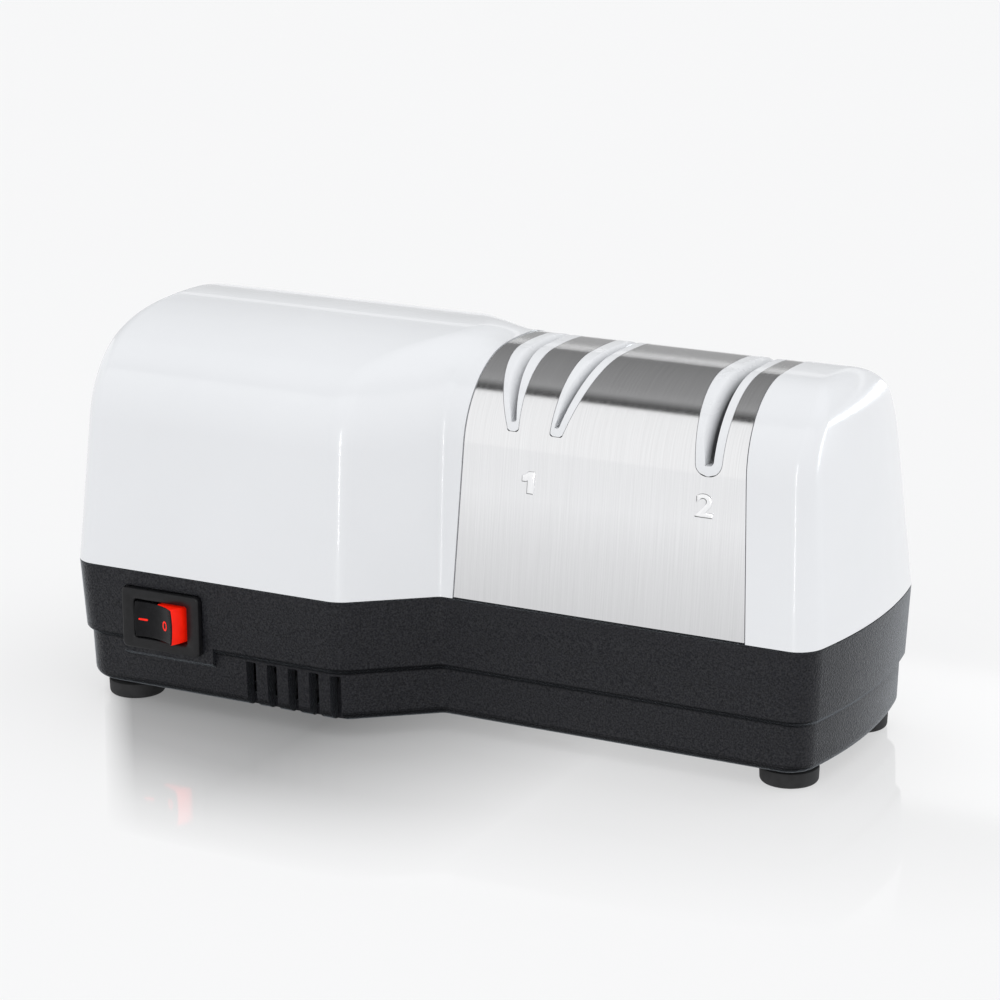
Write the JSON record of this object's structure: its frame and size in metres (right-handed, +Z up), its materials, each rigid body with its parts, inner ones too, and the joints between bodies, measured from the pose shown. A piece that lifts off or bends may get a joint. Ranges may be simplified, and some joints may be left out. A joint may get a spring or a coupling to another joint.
{
  "type": "electric knife sharpener",
  "caption": "Benchtop electric knife sharpener: domed white housing on a black base, curved steel cover with guided knife slots, rocker switch and rubber feet.",
  "frame": {"origin": "middle of the underside of the whole object, on the plane its feet stand on", "axes": "+X from the motor end to the finishing end, -Y towards the user, +Z up"},
  "size_m": [0.2, 0.1022, 0.0954],
  "materials": {
    "housing_white": "moulded, high gloss",
    "guide_white": "moulded, satin gloss",
    "base_black": "fine grain",
    "cover_steel": "brushed up and down",
    "switch_black": "satin",
    "rocker_black": "satin, red flank and marks",
    "gland_black": "matt",
    "foot_rubber": "matt",
    "screw_zinc": "zinc plated",
    "lid_black": "fine grain",
    "magnet_grey": "sintered",
    "core_iron": "stacked sheets",
    "bobbin_white": "moulded",
    "coil_copper": "enamelled wire",
    "bracket_steel": "zinc plated sheet",
    "bush_bronze": "sintered bronze",
    "shaft_steel": "ground",
    "rotor_aluminium": "cast rings on laminations",
    "fan_grey": "moulded",
    "abrasive_coat": "diamond coated",
    "abrasive_fine": "fine diamond coated",
    "spring_steel": "drawn wire",
    "frame_grey": "moulded"
  },
  "bodies": {
    "body": {"upper_housing": "housing_white", "base_housing": "base_black", "steel_cover_plate": "cover_steel", "slot_1_left_guide": "guide_white", "slot_1_right_guide": "guide_white", "slot_2_guide": "guide_white", "switch_frame": "switch_black", "cord_gland": "gland_black", "foot_motor_front": "foot_rubber", "foot_motor_back": "foot_rubber", "foot_narrow_front": "foot_rubber", "foot_narrow_back": "foot_rubber", "housing_screw_motor_front": "screw_zinc", "housing_screw_motor_back": "screw_zinc", "housing_screw_narrow_front": "screw_zinc", "housing_screw_narrow_back": "screw_zinc", "stator_core": "core_iron", "coil_bobbin": "bobbin_white", "stator_coil": "coil_copper", "motor_end_bracket": "bracket_steel", "drive_end_bracket": "bracket_steel", "motor_end_bush": "bush_bronze", "drive_end_bush": "bush_bronze", "shaft_end_bush": "bush_bronze", "shaft_end_post": "frame_grey", "stage_2_bracket": "frame_grey"},
    "rotor": {"motor_shaft": "shaft_steel", "motor_rotor": "rotor_aluminium", "cooling_fan": "fan_grey", "stage_1_pin_left": "shaft_steel", "stage_1_pin_right": "shaft_steel", "stage_1_spring": "spring_steel"},
    "disk_left": {"stage_1_disk_left": "abrasive_coat"},
    "disk_right": {"stage_1_disk_right": "abrasive_coat"},
    "finish_wheels": {"stage_2_axle": "shaft_steel", "stage_2_wheel_left": "abrasive_fine", "stage_2_wheel_right": "abrasive_fine"},
    "rocker": {"switch_rocker": "rocker_black"},
    "cover": {"swarf_cover": "lid_black", "swarf_magnet": "magnet_grey"}
  },
  "joints": [
    {"name": "rotor_spin", "type": "hinge", "parent": "body", "child": "rotor", "pos_m": [0, 0.00206, 0.0539], "axis": [1, 0, 0], "continuous": true},
    {"name": "disk_left_slide", "type": "slide", "parent": "rotor", "child": "disk_left", "axis": [1, 0, 0], "range_m": [0, 0.0012], "stiffness_N_per_m": 1500, "springref_m": -0.002, "deforming": ["stage_1_spring"]},
    {"name": "disk_right_slide", "type": "slide", "parent": "rotor", "child": "disk_right", "axis": [-1, 0, 0], "range_m": [0, 0.0012], "stiffness_N_per_m": 1500, "springref_m": -0.002, "deforming": ["stage_1_spring"]},
    {"name": "finish_wheel_spin", "type": "hinge", "parent": "body", "child": "finish_wheels", "pos_m": [0.0682, 0.00206, 0.068], "axis": [1, 0, 0], "continuous": true},
    {"name": "rocker_tilt", "type": "hinge", "parent": "body", "child": "rocker", "pos_m": [-0.0695, -0.04443, 0.02365], "axis": [0, 0, 1], "range_deg": [0, 24]},
    {"name": "swarf_cover_slide", "type": "slide", "parent": "body", "child": "cover", "axis": [0, 0, -1], "range_m": [0, 0.0036]}
  ]
}
